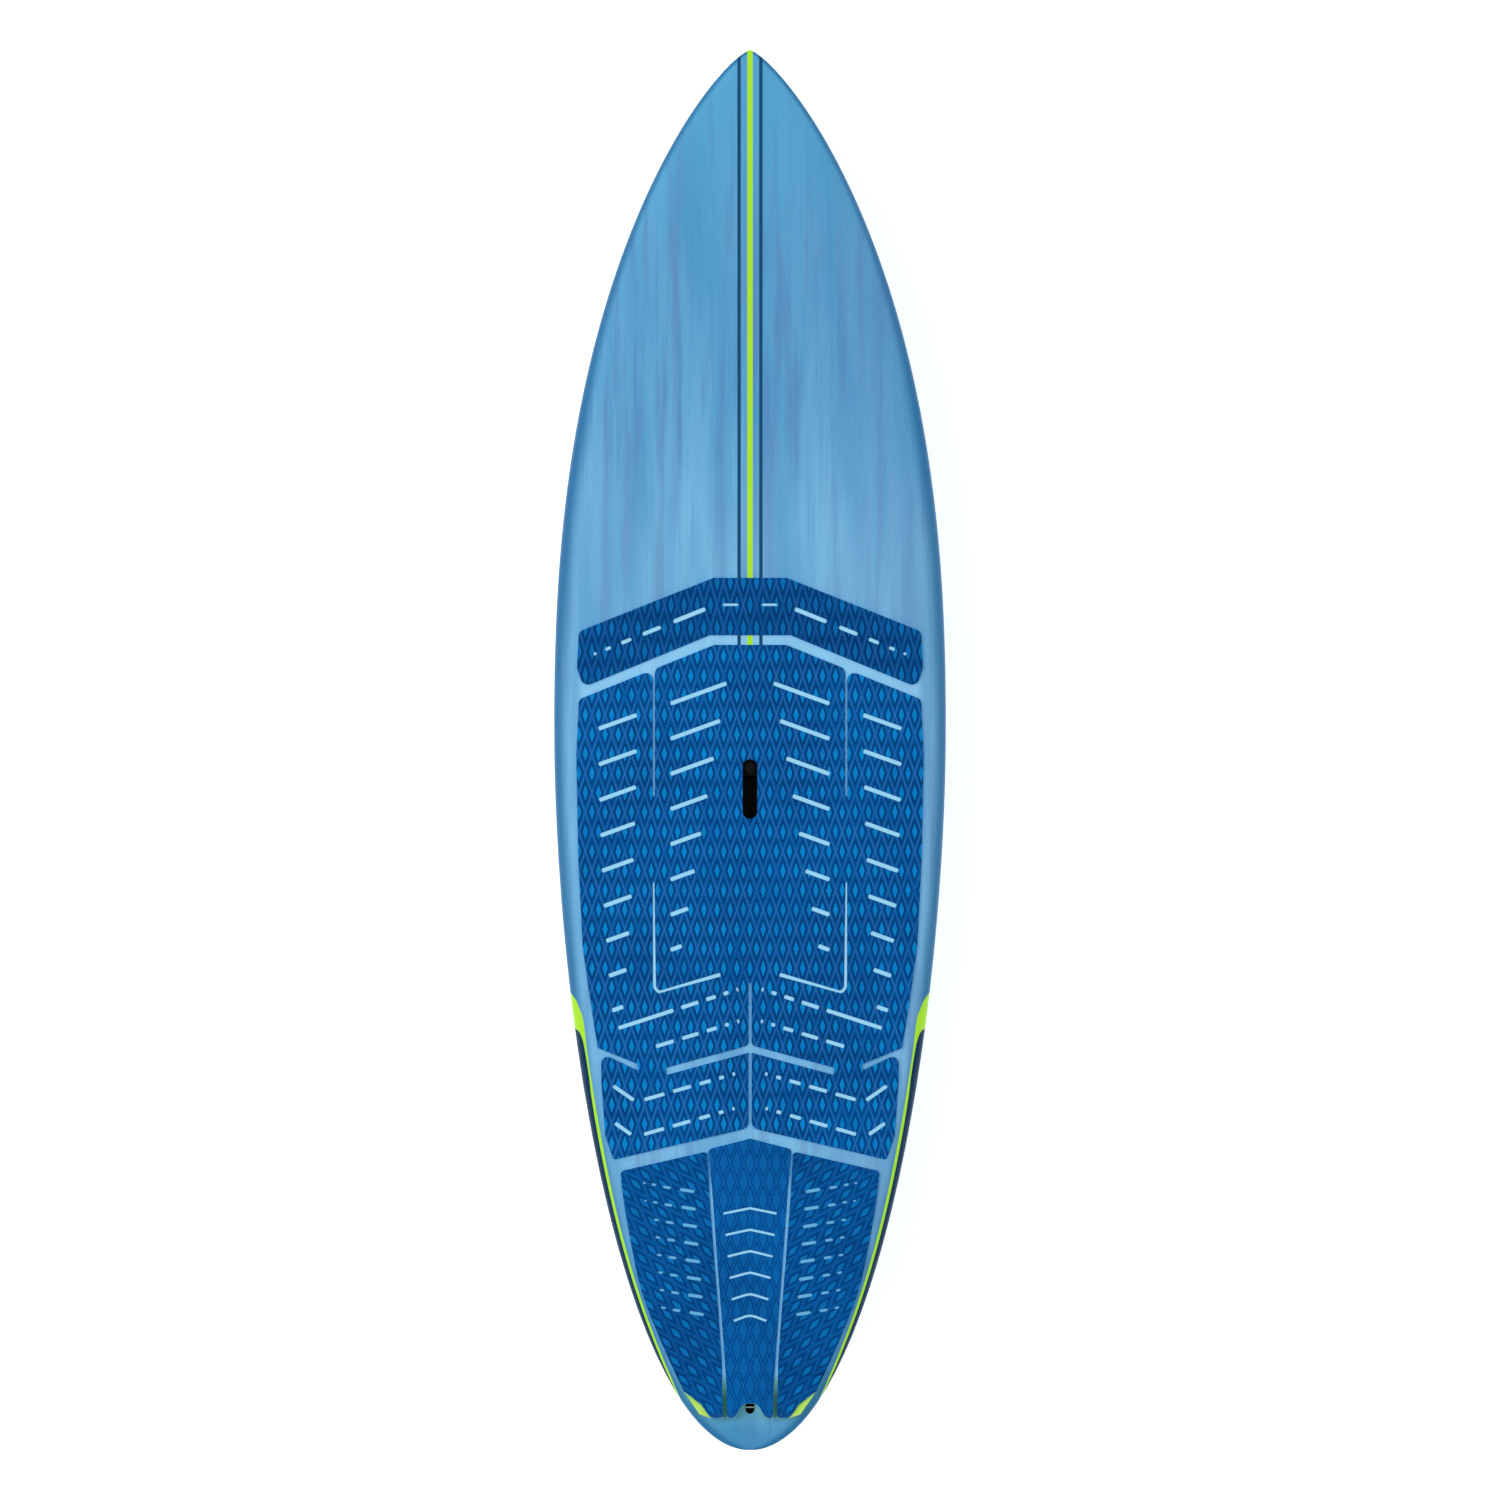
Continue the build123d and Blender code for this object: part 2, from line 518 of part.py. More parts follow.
def build_side_fins():
    """Four short boxes with a grub screw hole. The front pair holds fins; the rear pair is empty."""
    slot_length, slot_width, slot_depth = SIDE_SLOT
    slot_shift = -6.0
    grub_x = SIDE_BOX[0] / 2 - 10
    grub_hole = Pos(grub_x, 0, -GRUB_LENGTH / 2 + 7) * Cylinder(GRUB_RADIUS, GRUB_LENGTH + 14)
    slot = Pos(slot_shift, 0, -slot_depth / 2 + 6) * Box(slot_length, slot_width, slot_depth + 12)
    for name, frame in side_frames.items():
        parts[f"side_box_{name}"] = (outer & side_blanks[name]) - frame * (slot + grub_hole)

    tab_length = slot_length - 2 * SIDE_TAB_SLACK
    tab_depth = slot_depth - 0.5
    tab = Pos(slot_shift, 0, (FIN_BASE_GAP - tab_depth) / 2) * Box(
        tab_length, slot_width - 2 * SIDE_TAB_SLACK, tab_depth + FIN_BASE_GAP)
    front = slot_shift + tab_length / 2 - 1
    for side, hand in (("right", 1), ("left", -1)):
        blade = foil(SIDE_FIN_DEPTH, (front, slot_shift - tab_length / 2 + 2), 96, 16, 6, 0.15)
        if hand < 0:
            blade = mirror(blade, Plane.XZ)
        frame = side_frames[f"front_{side}"]
        grub = Pos(grub_x, 0, -GRUB_LENGTH / 2 - 0.6) * Cylinder(GRUB_RADIUS, GRUB_LENGTH - 1.2)
        socket = Pos(grub_x, 0, -1.9) * extrude(RegularPolygon(1.45, 6), 3)
        parts[f"side_fin_{side}"] = frame * (tab + blade)
        parts[f"side_fin_screw_{side}"] = frame * (grub - socket)


build_hull()
build_handle()
build_leash_plug()
build_pads()
build_centre_fin()
build_side_fins()

os.makedirs("parts", exist_ok=True)
for node, shape in parts.items():
    solids = shape.solids()
    whole = solids[0] if len(solids) == 1 else Compound(children=list(solids))
    export_step(whole, f"parts/{node}.step")
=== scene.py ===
import math

import bmesh
import bpy
import numpy as np
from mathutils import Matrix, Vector
from mathutils.bvhtree import BVHTree
from mathutils.geometry import delaunay_2d_cdt


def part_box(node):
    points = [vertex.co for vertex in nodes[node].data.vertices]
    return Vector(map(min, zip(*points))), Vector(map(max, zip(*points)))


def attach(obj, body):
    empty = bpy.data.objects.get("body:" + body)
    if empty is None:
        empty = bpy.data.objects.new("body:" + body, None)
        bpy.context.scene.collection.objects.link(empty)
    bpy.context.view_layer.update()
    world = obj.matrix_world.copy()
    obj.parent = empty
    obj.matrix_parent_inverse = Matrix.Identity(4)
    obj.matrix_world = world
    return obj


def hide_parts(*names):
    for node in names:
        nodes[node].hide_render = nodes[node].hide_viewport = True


# Looks of a stand up paddleboard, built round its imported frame. Metres, +Y to the nose, +Z up.
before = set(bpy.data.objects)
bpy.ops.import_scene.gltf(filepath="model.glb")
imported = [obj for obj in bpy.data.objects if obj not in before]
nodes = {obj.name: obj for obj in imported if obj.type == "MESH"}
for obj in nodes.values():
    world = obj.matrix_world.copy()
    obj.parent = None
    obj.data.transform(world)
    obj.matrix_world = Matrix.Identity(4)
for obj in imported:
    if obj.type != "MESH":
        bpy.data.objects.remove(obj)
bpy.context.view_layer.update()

MM = 0.001
HALF_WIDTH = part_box("deck_shell")[1].x
NOSE_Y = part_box("deck_shell")[1].y
TAIL_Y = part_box("deck_shell")[0].y
WIDE_Y = 0.030                   # the board's widest station
NOSE_POWERS = (2.37, 0.764)      # powers of the plan outline ahead of it
TAIL_POWERS = (1.813, 0.497)     # and behind it
PAD_THICKNESS = 5 * MM
FRONT_PAD_HIGH_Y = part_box("pad_front")[1].y
KICK_FRONT_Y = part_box("kick_wedge_centre")[1].y
TAIL_PAD_BACK_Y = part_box("pad_tail_centre")[0].y


# ------------------------------------------------------------------ colours
def srgb(red, green, blue):
    """A colour picked as 0-255 screen values, as the linear RGBA that a shader takes."""
    def linear(value):
        value /= 255
        return value / 12.92 if value <= 0.04045 else ((value + 0.055) / 1.055) ** 2.4
    return (linear(red), linear(green), linear(blue), 1.0)


DECK_LIGHT = srgb(122, 188, 230)
DECK_TEAL = srgb(80, 154, 202)
DECK_VIOLET = srgb(94, 138, 190)
DECK_DEEP = srgb(54, 133, 184)
# Darker blue for the paint's grain and for the painted shade round the rail.
DECK_GRAIN_AND_RIM_SHADE = srgb(28, 106, 156)
DECK_NOSE = srgb(84, 168, 212)
DECK_PALE = srgb(160, 222, 255)
LIME = srgb(172, 232, 52)
NAVY = srgb(0, 50, 86)
LINE_NAVY = srgb(20, 74, 114)
EVA_PLATEAU = srgb(0, 136, 212)
EVA_BODY = srgb(0, 96, 172)
EVA_DARK = srgb(0, 42, 96)
EVA_CREST = srgb(66, 132, 200)
EVA_PALE = srgb(160, 222, 250)
EVA_PALE_TAIL = srgb(104, 182, 226)


# ------------------------------------------------------------------ material building
class Shader:
    """A node material under construction. Each method adds nodes and gives back an output socket."""

    def __init__(self, name, roughness, specular=0.5):
        self.material = bpy.data.materials.new(name)
        self.material.use_nodes = True
        self.tree = self.material.node_tree
        self.surface = self.tree.nodes["Principled BSDF"]
        self.surface.inputs["Roughness"].default_value = roughness
        self.surface.inputs["Specular IOR Level"].default_value = specular
        self.place = self.node("ShaderNodeTexCoord").outputs["Object"]
        split = self.node("ShaderNodeSeparateXYZ")
        self.link(self.place, split.inputs[0])
        self.x, self.y, self.z = split.outputs
        self.normal = None

    def node(self, kind, **settings):
        made = self.tree.nodes.new(kind)
        for key, value in settings.items():
            setattr(made, key, value)
        return made

    def link(self, source, target):
        self.tree.links.new(source, target)

    def feed(self, value, target):
        if isinstance(value, bpy.types.NodeSocket):
            self.link(value, target)
        else:
            target.default_value = value

    def math(self, operation, first, second=0.0, third=0.0, clamp=False):
        made = self.node("ShaderNodeMath", operation=operation, use_clamp=clamp)
        for value, target in zip((first, second, third), made.inputs):
            self.feed(value, target)
        return made.outputs[0]

    def step(self, value, low, high, invert=False):
        """0 below low, 1 above high, smooth between; the other way round if inverted."""
        made = self.node("ShaderNodeMapRange", interpolation_type="SMOOTHSTEP")
        self.feed(value, made.inputs["Value"])
        self.feed(low, made.inputs["From Min"])
        self.feed(high, made.inputs["From Max"])
        made.inputs["To Min"].default_value = 1.0 if invert else 0.0
        made.inputs["To Max"].default_value = 0.0 if invert else 1.0
        return made.outputs[0]

    def band(self, value, low, high, soft):
        """1 between low and high, with soft edges."""
        rise = self.step(value, low - soft, low + soft)
        fall = self.step(value, high - soft, high + soft, invert=True)
        return self.math("MULTIPLY", rise, fall)

    def mix(self, share, first, second):
        made = self.node("ShaderNodeMix", data_type="RGBA")
        self.feed(share, made.inputs[0])
        self.feed(first, made.inputs[6])
        self.feed(second, made.inputs[7])
        return made.outputs[2]

    def towards(self, base, colour, strength, share):
        """The base colour moved towards another by a share, and no more than the strength."""
        return self.mix(self.math("MULTIPLY", share, strength), base, colour)

    def stretched(self, x, y, z):
        """The object's own coordinates, in millimetres, scaled apart along each axis."""
        made = self.node("ShaderNodeMapping")
        made.inputs["Scale"].default_value = (x / MM, y / MM, z / MM)
        self.link(self.place, made.inputs["Vector"])
        return made.outputs[0]

    def noise(self, size, detail=3.0, rough=0.55, stretch=(1, 1, 1), seed=0.0):
        """Noise from 0 to 1 whose blotches are about size millimetres across."""
        made = self.node("ShaderNodeTexNoise", noise_dimensions="4D")
        self.link(self.stretched(*(1 / (size * s) for s in stretch)), made.inputs["Vector"])
        made.inputs["W"].default_value = seed
        made.inputs["Scale"].default_value = 1.0
        made.inputs["Detail"].default_value = detail
        made.inputs["Roughness"].default_value = rough
        return made.outputs["Fac"]

    def cells(self, size, feature="F1", output="Distance", stretch=(1, 1, 1)):
        """Voronoi cells about size millimetres across."""
        made = self.node("ShaderNodeTexVoronoi", feature=feature)
        self.link(self.stretched(*(1 / (size * s) for s in stretch)), made.inputs["Vector"])
        made.inputs["Scale"].default_value = 1.0
        return made.outputs[output]

    def curve(self, value, points):
        """A smooth curve through a few (value, result) points, both in metres."""
        low, high = points[0][0], points[-1][0]
        top = max(result for _, result in points)
        share = self.math("DIVIDE", self.math("SUBTRACT", value, low), high - low, clamp=True)
        made = self.node("ShaderNodeFloatCurve")
        line = made.mapping.curves[0]
        while len(line.points) < len(points):
            line.points.new(0.5, 0.5)
        for point, (at, result) in zip(line.points, points):
            point.location = ((at - low) / (high - low), result / top)
            point.handle_type = "AUTO_CLAMPED"
        made.mapping.update()
        self.link(share, made.inputs["Value"])
        return self.math("MULTIPLY", made.outputs[0], top)

    def colour(self, value):
        self.feed(value, self.surface.inputs["Base Color"])

    def roughness(self, low, high, share):
        self.link(self.math("ADD", self.math("MULTIPLY", share, high - low), low),
                  self.surface.inputs["Roughness"])

    def bump(self, height, depth):
        """Bump of that depth in millimetres, over any bump that was added before."""
        made = self.node("ShaderNodeBump")
        made.inputs["Strength"].default_value = 1.0
        made.inputs["Distance"].default_value = depth * MM
        self.link(height, made.inputs["Height"])
        if self.normal is not None:
            self.link(self.normal, made.inputs["Normal"])
        self.normal = made.outputs[0]
        self.link(self.normal, self.surface.inputs["Normal"])


# ------------------------------------------------------------------ the board's paint
# Inset of the rail graphic from the board's edge, by Y: the lime's inner side, then the navy's.
LIME_INSET = [(-1.014, 0), (-0.990, 0.0040), (-0.968, 0.0067), (-0.900, 0.0100), (-0.740, 0.0120),
              (-0.540, 0.0140), (-0.470, 0.0143), (-0.432, 0.0150), (-0.406, 0.0118), (-0.377, 0)]
NAVY_INSET = [(-1.005, 0), (-0.968, 0.0034), (-0.900, 0.0062), (-0.740, 0.0078), (-0.540, 0.0098),
              (-0.500, 0.0112), (-0.471, 0.0109), (-0.447, 0.0085), (-0.433, 0)]
RAIL_GRAPHIC_UNDER = 0.45        # how wide the rail graphic is on the hull, as a share of that on the deck
STRIPE_HALF = 4.3 * MM
LINE_AT = 17 * MM
LINE_HALF = 2.7 * MM
STRIPES_END_Y = 0.120
FRONT_PAD_FLAT = 0.057           # half width of the straight middle of the front pad's leading edge
FRONT_PAD_FALL = 0.398           # and how steeply the edge falls away on each side of it


def inside_outline(shader):
    """How far inside the plan outline a point is, measured straight across the board."""
    ahead = shader.math("DIVIDE", shader.math("SUBTRACT", shader.y, WIDE_Y), NOSE_Y - WIDE_Y, clamp=True)
    behind = shader.math("DIVIDE", shader.math("SUBTRACT", WIDE_Y, shader.y), WIDE_Y - TAIL_Y, clamp=True)
    width = HALF_WIDTH
    for share, (inner, outer) in ((ahead, NOSE_POWERS), (behind, TAIL_POWERS)):
        left = shader.math("SUBTRACT", 1.0, shader.math("POWER", share, inner), clamp=True)
        width = shader.math("MULTIPLY", shader.math("POWER", left, outer), width)
    return shader.math("SUBTRACT", width, shader.math("ABSOLUTE", shader.x))


def brushed_blue(shader, hairs, grain):
    """The base coat: blues in long streaks, as if brushed on along the board."""
    broad = shader.noise(70.0, 3.0, 0.5, (1, 7, 1), 9.0)
    violet = shader.noise(24.0, 3.0, 0.55, (1, 18, 4), 21.0)
    streaks = shader.noise(7.0, 3.0, 0.55, (1, 42, 12), 5.0)
    base = shader.mix(shader.step(broad, 0.30, 0.65), DECK_TEAL, DECK_LIGHT)
    base = shader.towards(base, DECK_TEAL, 0.60, shader.step(shader.y, 0.20, 0.70))
    base = shader.towards(base, DECK_VIOLET, 0.80, shader.step(violet, 0.46, 0.66))
    # Violet towards the right side: partly the paint's own violet cast, whose streaks lie more on the right,
    # and partly painted shade on the side away from the key light.
    base = shader.towards(base, DECK_VIOLET, 0.30, shader.step(shader.x, 0.02, 0.20))
    base = shader.towards(base, DECK_DEEP, 0.35, shader.step(streaks, 0.50, 0.75))
    base = shader.towards(base, DECK_DEEP, 0.35, shader.step(hairs, 0.48, 0.80))
    return shader.towards(base, DECK_GRAIN_AND_RIM_SHADE, 0.20, shader.step(grain, 0.45, 0.75))


def paler_round_pads(shader, base, inside):
    """Paler towards the pads, and paler still close round them: painted light that lifts the shade in the
    gaps and cuts round the pads, most in the seams between the tail pads and in the forward half. The painted
    light ends under the front pad."""
    across = shader.math("ABSOLUTE", shader.x)
    beside = shader.math("MAXIMUM", shader.math("SUBTRACT", across, FRONT_PAD_FLAT), 0.0)
    ahead = shader.math("ADD", shader.y, shader.math("MULTIPLY", beside, FRONT_PAD_FALL))
    along = shader.band(ahead, TAIL_PAD_BACK_Y + 0.040, FRONT_PAD_HIGH_Y - 0.015, 0.010)
    painted_light_round_pads = shader.math("MULTIPLY", shader.step(inside, 0.032, 0.048), along)
    tail_seams = shader.math("MULTIPLY", painted_light_round_pads, shader.step(shader.y, -0.69, -0.66, invert=True))
    forward = shader.math("MULTIPLY", painted_light_round_pads, shader.step(shader.y, -0.4, 0.0))
    base = shader.towards(base, DECK_PALE, 0.16, shader.step(shader.y, 0.28, 0.55, invert=True))
    # Painted light: the deck made paler where it shows in the gaps and cuts round the pads, where shade
    # falls.
    base = shader.towards(base, DECK_PALE, 0.10, painted_light_round_pads)
    base = shader.towards(base, DECK_PALE, 0.60, tail_seams)
    return shader.towards(base, DECK_PALE, 0.52, forward)


def shaded_ends(shader, base, inside):
    """Deeper at the tail, greener at the nose, and a dark band round the rail that slims to both ends:
    painted shade where the deck rolls over into the rail.
    """
    base = shader.towards(base, DECK_DEEP, 0.75, shader.step(shader.y, -1.075, -1.0, invert=True))
    base = shader.towards(base, DECK_NOSE, 0.65, shader.step(shader.y, 0.70, 1.05))
    slimming = shader.math("MULTIPLY_ADD", shader.step(shader.y, 0.40, 1.00), 1.6, 1.0)
    slimming = shader.math("MULTIPLY_ADD", shader.step(shader.y, 0.05, 0.25, invert=True), 0.2, slimming)
    rim = shader.math("MULTIPLY", inside, slimming)
    # Painted shade: the deck darkened in a band along its edge.
    return shader.towards(base, DECK_GRAIN_AND_RIM_SHADE, 0.90, shader.step(rim, 0.003, 0.030, invert=True))


def deck_stripes(shader, base):
    """A lime stripe between two navy lines, from the nose to under the main pad's front edge."""
    across = shader.math("ABSOLUTE", shader.x)
    stripes = shader.step(shader.y, STRIPES_END_Y, STRIPES_END_Y + 1 * MM)
    lines = shader.band(across, LINE_AT - LINE_HALF, LINE_AT + LINE_HALF, 0.2 * MM)
    base = shader.towards(base, LINE_NAVY, stripes, lines)
    return shader.towards(base, LIME, stripes, shader.step(across, STRIPE_HALF - 0.2 * MM,
                                                           STRIPE_HALF + 0.2 * MM, invert=True))


def rail_graphic(shader, base, inside, shrink):
    """Lime from the board's edge inwards, with navy over its outer part."""
    for insets, colour in ((LIME_INSET, LIME), (NAVY_INSET, NAVY)):
        inset = shader.curve(shader.y, insets)
        reach = shader.math("SUBTRACT", shader.math("MULTIPLY", inset, shrink), inside)
        real = shader.step(inset, 0.2 * MM, 0.6 * MM)
        base = shader.towards(base, colour, real, shader.step(reach, -0.15 * MM, 0.15 * MM))
    return base


def board_paint(name, top):
    """The board's paint, on the deck if top and otherwise on the hull, which has no stripes or pads."""
    shader = Shader(name, 0.42, 0.05)
    inside = inside_outline(shader)
    hairs = shader.noise(2.0, 3.0, 0.6, (1, 60, 20), 1.0)
    grain = shader.noise(1.5, 2.0, 0.6, (1, 1.5, 1), 14.0)
    base = brushed_blue(shader, hairs, grain)
    if top:
        base = paler_round_pads(shader, base, inside)
    base = shaded_ends(shader, base, inside)
    if top:
        base = deck_stripes(shader, base)
    shader.colour(rail_graphic(shader, base, inside, 1.0 if top else RAIL_GRAPHIC_UNDER))
    shader.roughness(0.34, 0.50, grain)
    shader.bump(hairs, 0.03)
    shader.bump(shader.noise(9.0, 2.0, 0.5, (1, 1, 1), 20.0), 0.03)
    return shader.material


# ------------------------------------------------------------------ EVA foam
class Lattice:
    """A tiling of lozenges: half width, half height and the centre of one of them, in millimetres, and a
    turn in degrees. A mirror of -1 lays it the other way round, for the board's left side."""

    def __init__(self, half_width, half_height, centre=(0.0, 0.0), turn=0.0, mirror=1):
        self.a = half_width * MM
        self.b = half_height * MM
        self.centre = (centre[0] * MM, centre[1] * MM)
        self.turn = math.radians(turn)
        self.mirror = mirror

    def local(self, x, y):
        """Coordinates whose whole even numbers are lozenge centres."""
        x = x * self.mirror - self.centre[0]
        y = y - self.centre[1]
        across = x * math.cos(self.turn) + y * math.sin(self.turn)
        along = y * math.cos(self.turn) - x * math.sin(self.turn)
        return across / self.a + along / self.b, across / self.a - along / self.b

    def place(self, p, q):
        """The point in plan at those coordinates."""
        across = (p + q) / 2 * self.a
        along = (p - q) / 2 * self.b
        x = across * math.cos(self.turn) - along * math.sin(self.turn) + self.centre[0]
        y = across * math.sin(self.turn) + along * math.cos(self.turn) + self.centre[1]
        return x * self.mirror, y

    def share(self, x, y):
        """How far a point is from the middle of its lozenge: 0 there and 1 at the edge."""
        p, q = self.local(x, y)
        return max(abs(p - 2 * round(p / 2)), abs(q - 2 * round(q / 2)))

    def in_shader(self, shader):
        """The same share, as shader nodes."""
        x = shader.math("MULTIPLY_ADD", shader.x, float(self.mirror), -self.centre[0])
        y = shader.math("SUBTRACT", shader.y, self.centre[1])
        cos, sin = math.cos(self.turn), math.sin(self.turn)
        across = shader.math("ADD", shader.math("MULTIPLY", x, cos / self.a),
                             shader.math("MULTIPLY", y, sin / self.a))
        along = shader.math("SUBTRACT", shader.math("MULTIPLY", y, cos / self.b),
                            shader.math("MULTIPLY", x, sin / self.b))
        sum_wave = shader.math("PINGPONG", shader.math("ADD", across, along), 1.0)
        difference_wave = shader.math("PINGPONG", shader.math("SUBTRACT", across, along), 1.0)
        return shader.math("MAXIMUM", sum_wave, difference_wave)


class Relief:
    """A moulded lozenge in section: (share of the way from its middle to its edge, depth below the crest
    in millimetres). The first stretch is the plateau and each ring deeper than 1 mm is a groove."""

    def __init__(self, *rings):
        self.rings = rings
        self.plateau = rings[1][0]
        self.crest = (rings[-2][0] + 1) / 2
        self.grooves = []
        for (inner, _), (deepest, depth), (outer, _) in zip(rings, rings[1:], rings[2:]):
            if depth > 1:
                self.grooves.append(((inner + deepest) / 2, (deepest + outer) / 2))

    def depth(self, share):
        """Depth in metres at a share of the way, straight from each ring to the next."""
        for (low, first), (high, second) in zip(self.rings, self.rings[1:]):
            if share <= high:
                return (first + (second - first) * (share - low) / (high - low)) * MM
        return 0.0


LOZENGE = Relief((0.0, 0.10), (0.43, 0.10), (0.48, 1.50), (0.59, 0.55), (0.69, 1.30), (0.75, 0.55),
                 (0.86, 0.45), (0.91, 0.05), (1.0, 0.0))
SCALE = Relief((0.0, 0.05), (0.68, 0.15), (0.76, 1.30), (0.84, 0.40), (1.0, 0.3))
ROUTED_DEPTH = 2.4 * MM


def eva_material(name, lattice, relief, plateau, crest, dark, contrast):
    """Moulded EVA foam: brighter smooth plateaus with painted light over them in patches, dark lines down in
    the grooves, partly the foam's own colour and partly painted shade, a painted highlight on the crests, and
    grain all over. The last four values are how strong the plateaus and crests, the darkening and the groove
    lines are."""
    shader = Shader(name, 0.66, 0.06)
    share = lattice.in_shader(shader)
    soft = 0.015
    patches = shader.noise(60.0, 3.0, 0.55, (1, 1, 1), 3.0)
    broad = shader.noise(200.0, 2.0, 0.5, (1, 1, 1), 17.0)
    grain = shader.noise(1.6, 3.0, 0.6, (1, 1, 1), 7.0)
    crest_highlight_patches = shader.noise(45.0, 3.0, 0.6, (1, 1, 1), 11.0)
    body = shader.towards(EVA_BODY, EVA_DARK, 0.25, shader.step(grain, 0.35, 0.75))
    body = shader.towards(body, EVA_DARK, 0.25, shader.step(broad, 0.40, 0.65))
    body = shader.towards(body, EVA_DARK, dark, 1.0)
    # Painted light: the plateaus brighter in broad patches, as light falls on them unevenly.
    lit = shader.math("MULTIPLY_ADD", shader.step(patches, 0.30, 0.60), 0.45, 0.55)
    middle = shader.towards(body, EVA_PLATEAU, plateau, lit)
    colour = shader.mix(shader.step(share, relief.plateau - soft, relief.plateau + soft), middle, body)
    # The grooves darkened: partly the foam's own darker colour and partly painted shade down in them.
    for strength, (low, high) in zip((1.0, 0.8), relief.grooves):
        colour = shader.towards(colour, EVA_DARK, strength * contrast, shader.band(share, low, high, soft))
    # Painted highlight: the crests lighter in patches, as the tops of the ridges catch the light.
    ridges = shader.math("MULTIPLY", shader.step(crest_highlight_patches, 0.30, 0.60), crest)
    at_crest = shader.step(share, relief.crest - soft, relief.crest + soft)
    shader.colour(shader.towards(colour, EVA_CREST, ridges, at_crest))
    shader.roughness(0.55, 0.82, grain)
    shader.bump(shader.cells(0.9), 0.10)
    shader.bump(grain, 0.12)
    return shader.material


def pale_foam():
    """The paler layer of foam under the blue one, laid bare by the routed dashes."""
    shader = Shader("eva_pale_layer", 0.7, 0.06)
    grain = shader.noise(1.4, 3.0, 0.6, (1, 1, 1), 2.0)
    streaks = shader.noise(5.0, 2.0, 0.5, (1, 3, 1), 6.0)
    base = shader.towards(EVA_PALE, DECK_LIGHT, 0.35, shader.step(grain, 0.4, 0.8))
    base = shader.towards(base, DECK_LIGHT, 0.3, shader.step(streaks, 0.5, 0.8))
    # Deeper blue in the two outer pads of the tail.
    behind = shader.step(shader.y, -0.68, -0.67, invert=True)
    aside = shader.step(shader.math("ABSOLUTE", shader.x), 0.060, 0.065)
    shader.colour(shader.mix(shader.math("MULTIPLY", behind, aside), base, EVA_PALE_TAIL))
    shader.roughness(0.6, 0.85, grain)
    shader.bump(shader.cells(0.8), 0.10)
    return shader.material


# ------------------------------------------------------------------ pad outlines and slots
def outline_loops(node):
    """Closed plan outlines of a CAD pad: the border of its top faces, the most detailed loop first."""
    mesh = bmesh.new()
    mesh.from_mesh(nodes[node].data)
    bmesh.ops.remove_doubles(mesh, verts=mesh.verts, dist=0.02 * MM)
    mesh.normal_update()
    following = {}
    for face in mesh.faces:
        if face.normal.z <= 0.3:
            continue
        for loop in face.loops:
            beyond = [other for other in loop.edge.link_faces if other is not face]
            if not any(other.normal.z > 0.3 for other in beyond):
                following[loop.vert.index] = (loop.link_loop_next.vert.index, loop.vert.co.xy.to_tuple())
    loops = []
    while following:
        start = next(iter(following))
        points = []
        at = start
        while at in following:
            at, point = following.pop(at)
            points.append(point)
        loops.append(points)
    mesh.free()
    return sorted(loops, key=len, reverse=True)


def handedness(loop):
    """1 if a closed loop runs anticlockwise, -1 if clockwise."""
    area = sum(x0 * y1 - x1 * y0 for (x0, y0), (x1, y1) in zip(loop, loop[1:] + loop[:1]))
    return 1 if area > 0 else -1


SHARP_CORNER = 34                # degrees: the outline turns less than this where it only curves


def eased(loop, radius, kept_ys):
    """The loop with its sharp convex corners rounded, except any on the lines Y = one of kept_ys."""
    hand = handedness(loop)
    result = []
    for index, point in enumerate(loop):
        here = Vector(point)
        back = Vector(loop[index - 1]) - here
        ahead = Vector(loop[(index + 1) % len(loop)]) - here
        turn = math.atan2(ahead.x * back.y - ahead.y * back.x, back.dot(ahead)) * hand
        turn = math.pi - turn if turn > 0 else 0.0
        if math.degrees(turn) < SHARP_CORNER or any(abs(here.y - y) < 1 * MM for y in kept_ys):
            result.append(point)
            continue
        reach = min(radius * math.tan(turn / 2), back.length * 0.49, ahead.length * 0.49)
        start = here + back.normalized() * reach
        end = here + ahead.normalized() * reach
        for step in range(6):
            share = step / 5
            curve = start * (1 - share) ** 2 + here * 2 * share * (1 - share) + end * share ** 2
            result.append(tuple(curve))
    return result


def stroke(points, width):
    """The outline of a band of that width along a few (x, y) points, in metres."""
    left, right = [], []
    count = len(points)
    for index, (x, y) in enumerate(points):
        before = Vector(points[max(index - 1, 0)])
        after = Vector(points[min(index + 1, count - 1)])
        here = Vector((x, y))
        if 0 < index < count - 1:
            first = (here - before).normalized()
            second = (after - here).normalized()
            normal = (first + second).orthogonal().normalized()
            reach = width / 2 / max(0.4, normal.dot(first.orthogonal()))
        else:
            normal = (after - before).orthogonal().normalized()
            reach = width / 2
        left.append(here + normal * reach)
        right.append(here - normal * reach)
    return [tuple(point) for point in left + right[::-1]]


def dash(x, y, length, width, angle, roundness=0.3):
    """A straight slot about a middle point in millimetres, rising by angle towards the right. Its corners
    are rounded by that share of its width."""
    radius = roundness * min(length, width)
    reach, half = length / 2 - radius, width / 2 - radius
    corners = ((reach, half, 0), (-reach, half, 90), (-reach, -half, 180), (reach, -half, 270))
    cos, sin = math.cos(math.radians(angle)), math.sin(math.radians(angle))
    return scaled([(x + u * cos - v * sin, y + u * sin + v * cos)
                   for middle_u, middle_v, start in corners
                   for u, v in arc((middle_u, middle_v), radius, start, start + 90, 3)])


def arc(centre, radius, start, end, steps=6):
    angles = [math.radians(start + (end - start) * step / steps) for step in range(steps + 1)]
    return [(centre[0] + radius * math.cos(a), centre[1] + radius * math.sin(a)) for a in angles]


